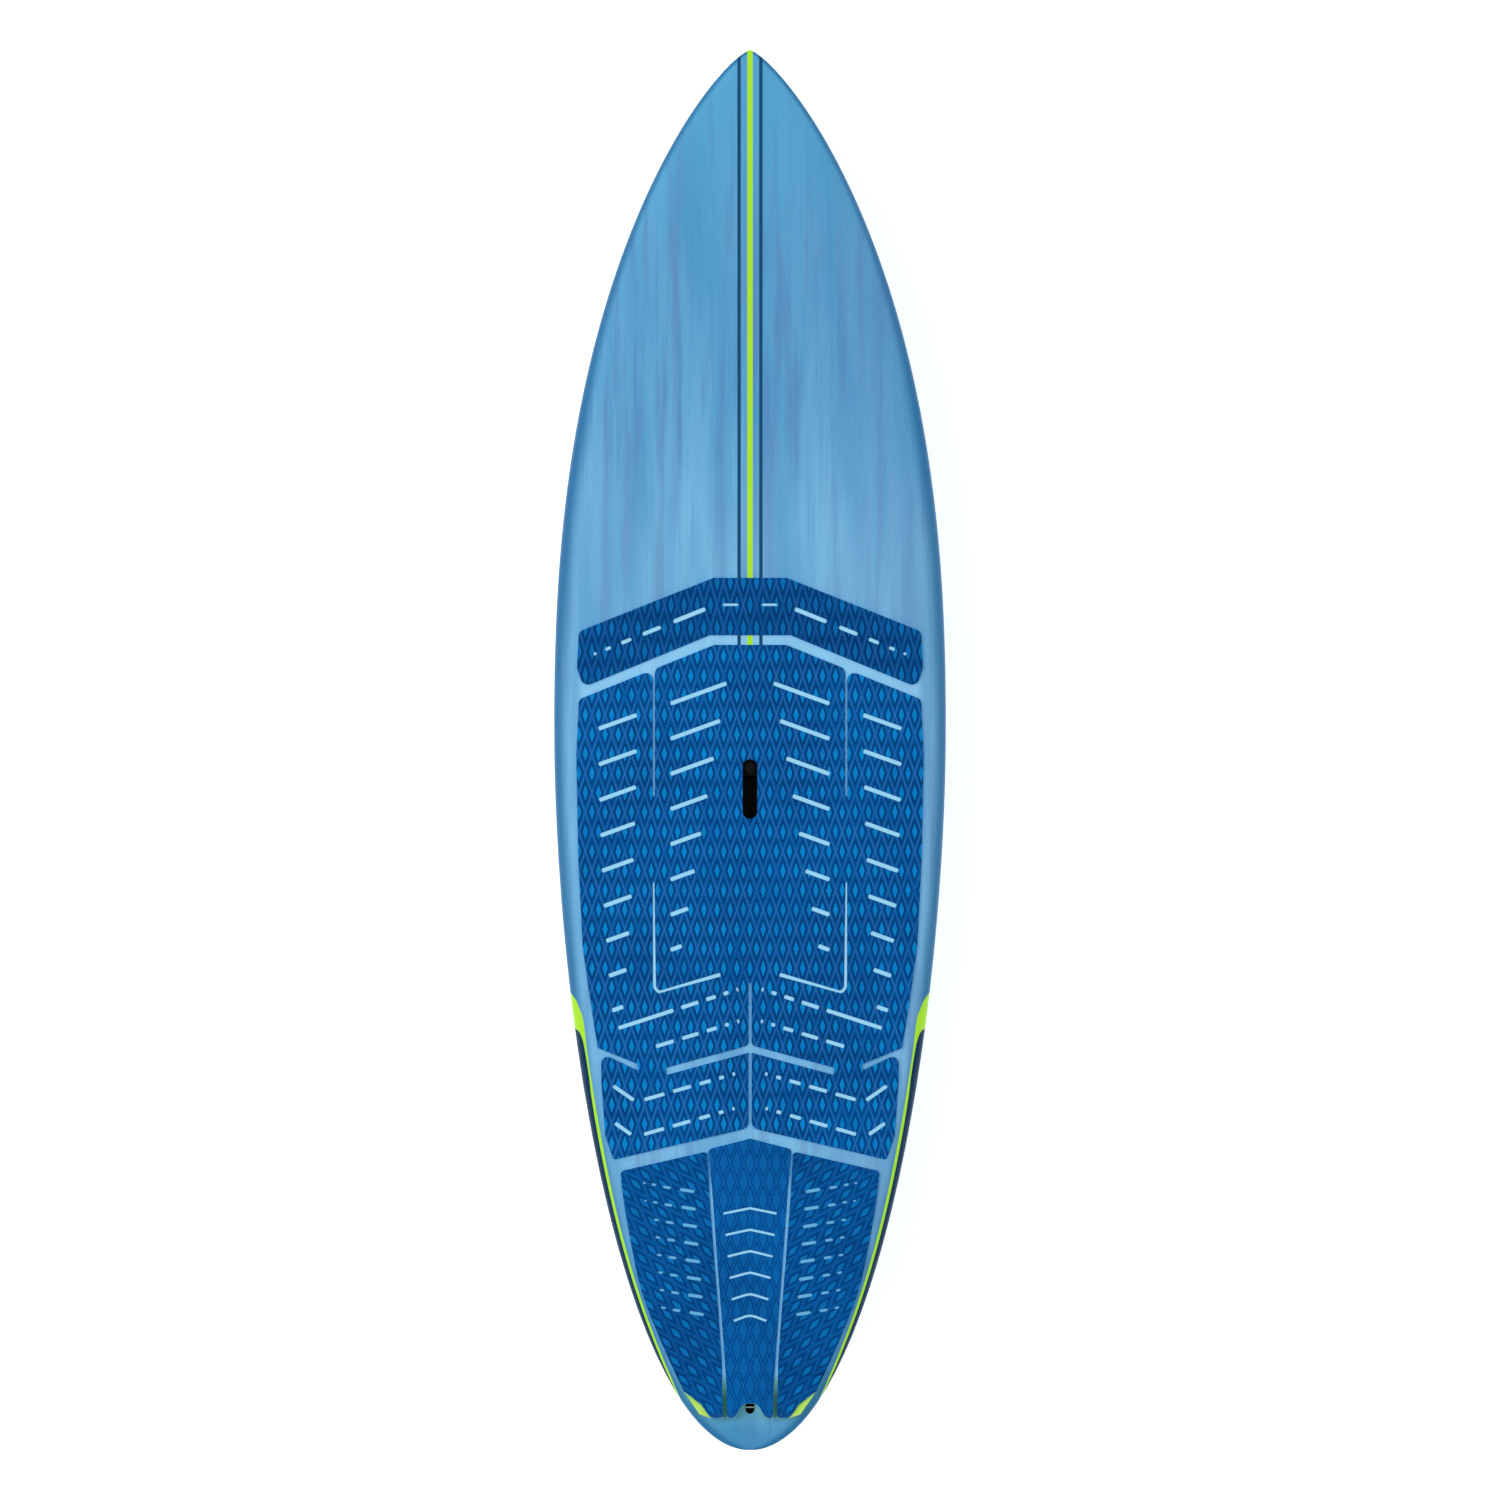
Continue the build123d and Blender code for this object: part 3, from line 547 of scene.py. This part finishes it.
def fading_row(outer_x, outer_y, angle, lengths, gap, width):
    """Dashes from the outer end towards the centreline, on one line that rises inwards."""
    slots = []
    at = 0.0
    for length in lengths:
        middle = at + length / 2
        x = outer_x - middle * math.cos(math.radians(angle))
        y = outer_y + middle * math.sin(math.radians(angle))
        slots.append(dash(x, y, length, width, -angle))
        at += length + gap
    return slots


def flared_slit(x, half, start_y, edge_y, slope, radius, way):
    """A slit along Y that opens into a pad's edge between two rounded corners, in millimetres. The edge
    crosses the slit at edge_y, ahead of it if way is 1 or behind if -1, and slopes: for a slit at X = 0 it
    slopes the other way on the left."""
    sides = []
    for hand in (1, -1):
        fall = slope * hand if x == 0 else slope
        middle_x = x + hand * (half + radius)
        middle_y = edge_y + fall * (middle_x - x) - way * radius * math.hypot(1, fall)
        touch = math.degrees(math.atan2(way, -way * fall))
        first = 180 if hand > 0 else 0
        if first - touch > 180:
            touch += 360
        sides.append([(x + hand * half, start_y)] + arc((middle_x, middle_y), radius, first, touch))
    right, left = sides
    past_edge = (x, edge_y + way * 4)
    return scaled(right + [past_edge] + left[::-1])


def mirrored(slot):
    return [(-x, y) for x, y in reversed(slot)]


def both_sides(slots):
    return slots + [mirrored(slot) for slot in slots]


def scaled(points):
    return [(x * MM, y * MM) for x, y in points]


def front_pad_dashes():
    slots = [dash(30.5, 226.5, 25, 4.8, 0, 0.45)]
    x = 69.0
    for row in range(5):
        length = 55 * 0.58 ** row
        middle = x + length * math.cos(math.radians(22)) / 2
        slots.append(dash(middle, 210 - 0.408 * (middle - 94.5), length, 7.6 - 0.5 * row, -22, 0.45))
        x += length * math.cos(math.radians(22)) + 18.5 - 2 * row
    return both_sides(slots)


def main_pad_dashes():
    slots = []
    for row in range(8):
        length = 94 - 10.6 * row
        slots.append(dash(124.5 - length * 0.47, 88.2 - 56.7 * row, length, 7.4, -20))
    for row in range(9):
        slots.append(dash(206.4, 43.9 - 55.9 * row, 64.5 - 0.7 * row ** 2, 7.4, -19.8))
    slots += fading_row(206, -434, 18, (91.6, 29.5, 17, 9.5, 4.6), 11.5, 7.0)
    slots += fading_row(147.3, -462.5, 17, (30.5, 28, 17.5, 7.5, 4.6), 12.2, 6.8)
    slots += fading_row(165.5, -545.5, 16, (34, 30.5, 19, 9.2, 5.4), 12.6, 6.6)
    slots += fading_row(165.8, -599.5, 16, (33.6, 30, 19, 9.1, 5), 12.8, 6.6)
    # The long seam behind the handle, which turns inwards at its end.
    outer_turn = arc((137, -366), 14.8, 0, -70)
    inner_turn = arc((137, -366), 9.2, -70, 0)
    slots.append(scaled([(148.6, -206), (151.9, -206)] + outer_turn
                        + [(44.8, -353.4), (46.5, -346.8)] + inner_turn))
    slots += [dash(197.3, -535, 40, 6.8, 35), dash(198, -590.7, 31.5, 6.8, 35)]
    return both_sides(slots)


def main_pad_cuts():
    # A long seam beside the handle on each side, flared where it opens into the gap ahead of the pad, and
    # a groove in from each edge.
    slots = [
        flared_slit(150, 1.6, -72, 126, -0.403, 11, 1),
        scaled([(174.7, -490), (238, -464.5), (250, -458), (250, -488.5)]
               + arc((222.1, -488.5), 9.9, 0, 115) + [(174.7, -500)]),
    ]
    # The chevron across the middle, with a slit ahead and behind.
    middle = [
        scaled([(-131, -495.5), (0, -460), (131, -495.5), (131, -506.8), (0, -471.4), (-131, -506.8)]),
        flared_slit(0, 2.3, -363, -460, -0.271, 9, -1),
        flared_slit(0, 2.4, -466, -589, -0.2347, 13, -1),
    ]
    return both_sides(slots) + middle


def tail_side_dashes(side):
    slots = []
    for row in range(8):
        y = -687 - 27.4 * row
        shift = -2.1 * row
        for x, rise, length, width in ((98, 0, 24, 6.0), (129.5, 5, 13.5, 5.2), (150, 9, 8.5, 4.6),
                                       (165, 11.5, 5.4, 3.8), (177, 13.5, 4.0, 3.2)):
            if x + shift < 170 - 5.2 * row or x < 160:
                slots.append(dash(x + shift, y + rise, length, width, 9, 0.45))
    return slots if side > 0 else [mirrored(slot) for slot in slots]


def tail_centre_dashes():
    """Flat chevrons, each shorter than the one ahead of it, with a blunt tip."""
    slots = []
    for row in range(6):
        half = 42 - 3.2 * row
        tip_y = -714.6 - 33.5 * row
        line = [(-half, tip_y - 8.4), (-8, tip_y - 1.6), (0, tip_y), (8, tip_y - 1.6), (half, tip_y - 8.4)]
        slots.append(stroke(scaled(line), 4.6 * MM))
    return slots


# ------------------------------------------------------------------ pad meshes
def crossings(points, loops):
    """For each point, whether it is inside an odd number of the loops."""
    inside = np.zeros(len(points), bool)
    x, y = points[:, 0], points[:, 1]
    for loop in loops:
        for (x0, y0), (x1, y1) in zip(loop, loop[1:] + loop[:1]):
            if y0 == y1:
                continue
            between = (y0 > y) != (y1 > y)
            inside ^= between & (x < (x1 - x0) * (y - y0) / (y1 - y0) + x0)
    return inside


def grown(loop, distance):
    """The loop moved outwards by a distance, or inwards if that is negative; loops may run either way."""
    hand = handedness(loop)
    result = []
    for index, point in enumerate(loop):
        here = Vector(point)
        before = (here - Vector(loop[index - 1])).normalized()
        after = (Vector(loop[(index + 1) % len(loop)]) - here).normalized()
        bisector = before + after
        if bisector.length < 1e-6:
            continue
        normal = Vector((bisector.y, -bisector.x)).normalized() * hand
        spread = max(0.5, normal.dot(Vector((after.y, -after.x)) * hand))
        result.append(tuple(here + normal * distance / spread))
    return result


class Drawing:
    """The points and edges of a plan, before it is divided into triangles. Points that fall in the same
    hundredth of a millimetre are one point."""

    def __init__(self):
        self.points = []
        self.edges = []
        self.known = {}

    def point(self, x, y):
        key = (round(x / (0.01 * MM)), round(y / (0.01 * MM)))
        if key not in self.known:
            self.known[key] = len(self.points)
            self.points.append(Vector((x, y)))
        return self.known[key]

    def line(self, start, end):
        self.edges.append((self.point(*start), self.point(*end)))

    def loop(self, corners):
        ring = [self.point(x, y) for x, y in corners]
        self.edges.extend((a, b) for a, b in zip(ring, ring[1:] + ring[:1]) if a != b)

    def triangles(self, loops, cuts):
        """Triangles that face up, inside the loops and outside the cuts, and the points that they use."""
        flat, _, faces, *_ = delaunay_2d_cdt(self.points, self.edges, [], 0, 1e-7)
        plan = np.array([tuple(point) for point in flat])
        faces = np.array([face[:3] for face in faces])
        corners = plan[faces]
        first = corners[:, 1] - corners[:, 0]
        second = corners[:, 2] - corners[:, 0]
        area = (first[:, 0] * second[:, 1] - first[:, 1] * second[:, 0]) / 2
        middles = corners.mean(1)
        kept = crossings(middles, loops) & (np.abs(area) > 1e-12)
        for cut in cuts:
            kept &= ~crossings(middles, [cut])
        faces = np.where((area < 0)[:, None], faces[:, ::-1], faces)[kept]
        used, faces = np.unique(faces, return_inverse=True)
        return plan[used], faces.reshape(-1, 3)


def lozenge_rings(lattice, relief, low, high):
    """The outline of each ring of the relief, in every lozenge that may reach into a box."""
    corners = [lattice.local(x, y) for x in (low.x, high.x) for y in (low.y, high.y)]
    spans = []
    for axis in (0, 1):
        halves = [corner[axis] / 2 for corner in corners]
        spans.append(range(round(min(halves)) - 1, round(max(halves)) + 2))
    for m in spans[0]:
        for n in spans[1]:
            x, y = lattice.place(2 * m, 2 * n)
            if low.x - lattice.b < x < high.x + lattice.b and low.y - lattice.b < y < high.y + lattice.b:
                for share, _ in relief.rings[1:]:
                    yield [lattice.place(2 * m + u * share, 2 * n + v * share)
                           for u, v in ((1, 1), (1, -1), (-1, -1), (-1, 1))]


def border(faces):
    """The edges that only one face has, each in its face's direction."""
    edges = dict.fromkeys((a, b) for face in faces for a, b in zip(face, face[1:] + face[:1]))
    return [(a, b) for a, b in edges if (b, a) not in edges]


def height_of(surface, x, y, above):
    """The height of a surface at a point, or of the part of it nearest to a point just past its edge."""
    for nudge in (0.0, 0.002):
        hit = surface.ray_cast(Vector((x * (1 - nudge), y, above + 50 * MM)), Vector((0, 0, -1)))[0]
        if hit is not None:
            return hit.z
    return surface.find_nearest(Vector((x, y, above)))[0].z


EDGE_ROUND = 1.1 * MM
EDGE_DROP = 0.8 * MM
ROUTED_WALL = 0.5 * MM
CORNER_RADIUS = 8 * MM
SUNK = 0.2 * MM                  # how far a pad's underside is let into the deck


def relief_pad(name, node, lattice, relief, tones, dashes, cuts=(), folds=()):
    """A pad of moulded sheet in place of a CAD pad: the lozenge relief on top, dashes routed down to the
    pale layer, cuts right through and rounded edges. The tones are eva_material's last four values, and
    the folds are the Ys at which the pad bends."""
    source = nodes[node].data
    surface = BVHTree.FromPolygons([v.co for v in source.vertices], [p.vertices for p in source.polygons])
    low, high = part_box(node)
    loops = [eased(loop, CORNER_RADIUS, folds) for loop in outline_loops(node)]
    floors = [grown(slot, -ROUTED_WALL) for slot in dashes]

    drawing = Drawing()
    for ring in lozenge_rings(lattice, relief, low, high):
        drawing.loop(ring)
    for loop in loops:
        drawing.loop(loop)
        drawing.loop(grown(loop, -EDGE_ROUND))
    for slot in list(cuts) + dashes:
        drawing.loop(slot)
        drawing.loop(grown(slot, EDGE_ROUND))
    for floor in floors:
        drawing.loop(floor)
    for fold_y in folds:
        drawing.line((low.x - 10 * MM, fold_y), (high.x + 10 * MM, fold_y))
    plan, triangles = drawing.triangles(loops, cuts)

    on_floor = crossings(plan[triangles].mean(1), floors)
    routed = crossings(plan, [grown(slot, -ROUTED_WALL / 2) for slot in dashes])
    rounded = crossings(plan, [grown(slot, ROUTED_WALL / 2) for slot in dashes])
    faces = triangles.tolist()
    rim = border(faces)
    rounded[[point for edge in rim for point in edge]] = True
    top, middle, bottom = [], [], []
    for (x, y), is_routed, is_rounded in zip(plan.tolist(), routed, rounded):
        height = height_of(surface, x, y, high.z)
        drop = relief.depth(lattice.share(x, y))
        if is_rounded:
            drop = max(drop, EDGE_DROP)
        if is_routed:
            drop = ROUTED_DEPTH
        top.append((x, y, height - drop))
        middle.append((x, y, height - ROUTED_DEPTH))
        bottom.append((x, y, height - PAD_THICKNESS - SUNK))

    # Walls in two layers, blue foam above and pale below, and the underside.
    count = len(top)
    walls = [(a + layer, a + layer + count, b + layer + count, b + layer)
             for layer in (0, count) for a, b in rim]
    underside = [[point + 2 * count for point in reversed(face)] for face in faces]
    is_pale = on_floor.astype(int).tolist() + [0] * len(rim) + [1] * (len(rim) + len(underside))
    mesh = bpy.data.meshes.new(name)
    mesh.from_pydata(top + middle + bottom, [], faces + walls + underside)
    mesh.polygons.foreach_set("material_index", is_pale)
    mesh.validate()
    mesh.update()
    mesh.materials.append(eva_material(name + "_foam", lattice, relief, *tones))
    mesh.materials.append(pale_layer)
    pad = bpy.data.objects.new(name, mesh)
    bpy.context.scene.collection.objects.link(pad)
    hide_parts(node)
    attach(pad, "board")


kick_crest_y = max(nodes["kick_wedge_centre"].data.vertices, key=lambda vertex: vertex.co.z).co.y
KICK_FOLDS = (KICK_FRONT_Y, kick_crest_y)
pale_layer = pale_foam()
relief_pad("deck_pad_front", "pad_front", Lattice(10.27, 36.2, (0, 226)), LOZENGE, (0.42, 0.35, 0.32, 0.95),
           front_pad_dashes())
relief_pad("deck_pad_main", "pad_main", Lattice(10.27, 30.4, (0, -158)), LOZENGE, (0.82, 0.6, 0.0, 0.9),
           main_pad_dashes(), main_pad_cuts())
for side, word in ((1, "right"), (-1, "left")):
    relief_pad("deck_pad_tail_" + word, "pad_tail_" + word,
               Lattice(10.27, 30.4, (110, -780), -43, mirror=side), LOZENGE, (0.42, 0.0, 0.15, 0.75),
               tail_side_dashes(side), folds=KICK_FOLDS)
relief_pad("deck_pad_tail_centre", "pad_tail_centre", Lattice(10.27, 29.0, (0, -760)), SCALE,
           (0.08, 0.0, 0.0, 0.6), tail_centre_dashes(), folds=KICK_FOLDS)


# ------------------------------------------------------------------ the other materials
def lime_foam():
    """Cut EVA foam of the kick wedges: closed cells show as fine pits."""
    shader = Shader("lime_foam", 0.6, 0.3)
    pits = shader.cells(1.3)
    tint = shader.noise(30.0, 3.0, 0.55, (1, 1, 1), 2.0)
    colour = shader.mix(shader.step(tint, 0.3, 0.7), srgb(178, 226, 86), srgb(198, 238, 112))
    # Painted shade: the pits darker than the foam round them.
    pit = shader.step(pits, 0.05, 0.35, invert=True)
    shader.colour(shader.towards(colour, srgb(120, 170, 40), 0.2, pit))
    shader.roughness(0.5, 0.75, tint)
    shader.bump(pits, 0.25)
    return shader.material


def moulded(name, dark, light, grain_size=0.8, gloss=(0.38, 0.55), depth=0.06):
    """Injection-moulded plastic: a fine spark-eroded grain and faint flow marks."""
    shader = Shader(name, gloss[0], 0.08)
    grain = shader.noise(grain_size, 2.0, 0.6, (1, 1, 1), 4.0)
    flow = shader.noise(18.0, 3.0, 0.5, (1, 2.5, 1), 6.0)
    shader.colour(shader.mix(shader.step(flow, 0.3, 0.75), dark, light))
    shader.roughness(gloss[0], gloss[1], grain)
    shader.bump(grain, depth)
    return shader.material


def fin_composite():
    """Glass-filled moulding: pale fibre flecks in near-black resin, fine sanding grain and a clear coat."""
    shader = Shader("fin_composite", 0.3, 0.5)
    flecks = shader.cells(1.1, stretch=(1, 4, 1))
    cloud = shader.noise(24.0, 4.0, 0.6, (1, 1.6, 1), 3.0)
    base = shader.mix(shader.step(cloud, 0.3, 0.7), srgb(16, 20, 26), srgb(32, 40, 50))
    fleck = shader.step(flecks, 0.02, 0.16, invert=True)
    shader.colour(shader.towards(base, srgb(96, 108, 120), 0.35, fleck))
    shader.roughness(0.24, 0.42, cloud)
    shader.bump(shader.noise(0.7, 2.0, 0.5, (1, 14, 1), 8.0), 0.04)
    shader.surface.inputs["Coat Weight"].default_value = 0.3
    shader.surface.inputs["Coat Roughness"].default_value = 0.2
    return shader.material


def metal(name, dark, light, rough=(0.22, 0.42)):
    """Bright metal with fine scratches that run up it."""
    shader = Shader(name, rough[0], 0.5)
    scratches = shader.noise(0.25, 2.0, 0.6, (1, 1, 12), 5.0)
    cloud = shader.noise(4.0, 3.0, 0.6, (1, 1, 1), 2.0)
    shader.colour(shader.mix(cloud, dark, light))
    shader.surface.inputs["Metallic"].default_value = 1.0
    shader.roughness(rough[0], rough[1], scratches)
    shader.bump(scratches, 0.015)
    return shader.material


def bead_foam(name, low, high, bead):
    """Expanded foam: packed beads with darker seams."""
    shader = Shader(name, 0.8, 0.3)
    edges = shader.cells(bead, feature="DISTANCE_TO_EDGE")
    tone = shader.cells(bead, output="Color")
    seam = shader.step(edges, 0.0, 0.12)
    shade = shader.towards(low, high, 0.6, tone)
    shader.colour(shader.mix(seam, low, shade))
    shader.bump(seam, 0.3)
    return shader.material


def wood():
    """Paulownia strip: long pale grain with darker late wood."""
    shader = Shader("stringer_wood", 0.62, 0.3)
    grain = shader.noise(1.4, 5.0, 0.6, (1, 90, 3), 3.0)
    rings = shader.noise(7.0, 2.0, 0.5, (1, 50, 1.5), 8.0)
    colour = shader.mix(shader.step(rings, 0.35, 0.65), srgb(214, 186, 146), srgb(190, 154, 108))
    shader.colour(shader.towards(colour, srgb(140, 104, 66), 0.6, shader.step(grain, 0.45, 0.8)))
    shader.roughness(0.55, 0.75, grain)
    shader.bump(grain, 0.08)
    return shader.material


def woven():
    """A woven breathable membrane."""
    shader = Shader("vent_membrane", 0.75, 0.2)
    threads = [shader.math("PINGPONG", axis, 0.25 * MM) for axis in (shader.x, shader.y)]
    weave = shader.math("DIVIDE", shader.math("ADD", *threads), 0.5 * MM)
    shader.colour(shader.mix(weave, srgb(196, 200, 204), srgb(236, 238, 240)))
    shader.bump(weave, 0.08)
    return shader.material


def dress(material, *names):
    """Gives a CAD node's surface a finished material."""
    for name in names:
        mesh = nodes[name].data
        mesh.materials.clear()
        mesh.materials.append(material)


SIDE_KEYS = ("front_left", "front_right", "rear_left", "rear_right")
dress(board_paint("deck_paint", top=True), "deck_shell")
dress(board_paint("hull_paint", top=False), "bottom_shell")
dress(lime_foam(), "kick_wedge_left", "kick_wedge_centre", "kick_wedge_right")
dress(moulded("handle_nylon", srgb(2, 2, 3), srgb(8, 8, 10)), "handle_cup", "leash_cup")
dress(moulded("vent_nylon", srgb(3, 4, 7), srgb(12, 14, 22), 0.5, (0.28, 0.42)), "vent_body", "vent_cap")
dress(moulded("seal_rubber", srgb(14, 14, 14), srgb(28, 28, 28), 0.4, (0.6, 0.8)), "vent_seal")
dress(woven(), "vent_membrane")
dress(metal("pin_steel", srgb(176, 180, 184), srgb(226, 228, 230)), "leash_pin", "fin_screw", "fin_nut_plate",
      "side_fin_screw_left", "side_fin_screw_right")
dress(metal("pin_brass", srgb(176, 138, 66), srgb(222, 186, 104)), "fin_cross_pin")
dress(moulded("box_white", srgb(214, 217, 220), srgb(236, 238, 240), 0.7, (0.4, 0.6)), "centre_fin_box",
      *("side_box_" + key for key in SIDE_KEYS))
dress(fin_composite(), "centre_fin", "side_fin_left", "side_fin_right")
dress(bead_foam("core_foam", srgb(226, 226, 222), srgb(250, 250, 248), 4.5), "core_left", "core_right")
dress(bead_foam("insert_foam", srgb(196, 186, 150), srgb(222, 214, 182), 1.2), "handle_block", "leash_block",
      "centre_box_block", *("side_block_" + key for key in SIDE_KEYS))
dress(wood(), "stringer")


# ------------------------------------------------------------------ floor, light and camera
FLOOR_REACH = 14.0
FLOOR_GLOW = 0.50
WORLD_STRENGTH = 0.50
CAMERA_HEIGHT = 4.0
VIEW_PER_LENGTH = 15 / 14        # the board's length fills 14 of the view's 15 parts


def build_floor():
    """A broad pale floor, level with the fin tip. It is clear from below, so that the underside shows."""
    reach = FLOOR_REACH
    corners = [(-reach, -reach, 0), (reach, -reach, 0), (reach, reach, 0), (-reach, reach, 0)]
    mesh = bpy.data.meshes.new("floor")
    mesh.from_pydata(corners, [], [(0, 1, 2, 3)])
    floor = bpy.data.objects.new("floor", mesh)
    bpy.context.scene.collection.objects.link(floor)
    shader = Shader("studio_floor", 0.9, 0.1)
    tone = shader.noise(400.0, 2.0, 0.5, (1, 1, 1), 1.0)
    shader.colour(shader.mix(tone, srgb(250, 250, 250), srgb(253, 253, 253)))
    shader.surface.inputs["Emission Color"].default_value = (1, 1, 1, 1)
    shader.surface.inputs["Emission Strength"].default_value = FLOOR_GLOW
    clear = shader.node("ShaderNodeBsdfTransparent")
    choice = shader.node("ShaderNodeMixShader")
    shader.link(shader.node("ShaderNodeNewGeometry").outputs["Backfacing"], choice.inputs[0])
    shader.link(shader.surface.outputs[0], choice.inputs[1])
    shader.link(clear.outputs[0], choice.inputs[2])
    shader.link(choice.outputs[0], shader.tree.nodes["Material Output"].inputs["Surface"])
    mesh.materials.append(shader.material)


def build_world():
    """Even light from all round, which the camera sees as plain white."""
    world = bpy.data.worlds.new("studio")
    world.use_nodes = True
    tree = world.node_tree
    background = tree.nodes["Background"]
    background.inputs["Color"].default_value = (1, 1, 1, 1)
    seen = tree.nodes.new("ShaderNodeLightPath").outputs["Is Camera Ray"]
    strength = tree.nodes.new("ShaderNodeMath")
    strength.operation = "MULTIPLY_ADD"
    strength.inputs[1].default_value = 1 - WORLD_STRENGTH
    strength.inputs[2].default_value = WORLD_STRENGTH
    tree.links.new(seen, strength.inputs[0])
    tree.links.new(strength.outputs[0], background.inputs["Strength"])
    bpy.context.scene.world = world


def sun(name, tilt, bearing, strength, spread):
    """A soft distant light, tilted from straight overhead towards a bearing in degrees from the nose."""
    data = bpy.data.lights.new(name, "SUN")
    data.energy = strength
    data.angle = math.radians(spread)
    light = bpy.data.objects.new(name, data)
    bpy.context.scene.collection.objects.link(light)
    light.rotation_euler = (math.radians(tilt), 0, math.radians(-bearing) + math.pi)


def build_camera():
    """A camera that looks straight down, with the nose at the top."""
    view = bpy.data.cameras.new("photo_camera")
    view.type = "ORTHO"
    view.ortho_scale = (NOSE_Y - TAIL_Y) * VIEW_PER_LENGTH
    camera = bpy.data.objects.new("photo_camera", view)
    bpy.context.scene.collection.objects.link(camera)
    camera.location = (0, (NOSE_Y + TAIL_Y) / 2, CAMERA_HEIGHT)
    camera.rotation_euler = (0, 0, 0)
    bpy.context.scene.camera = camera


build_floor()
build_world()
sun("key", 30, -80, 1.2, 30)
sun("fill", 28, 70, 0.5, 40)
build_camera()
bpy.context.scene.view_settings.view_transform = "Standard"
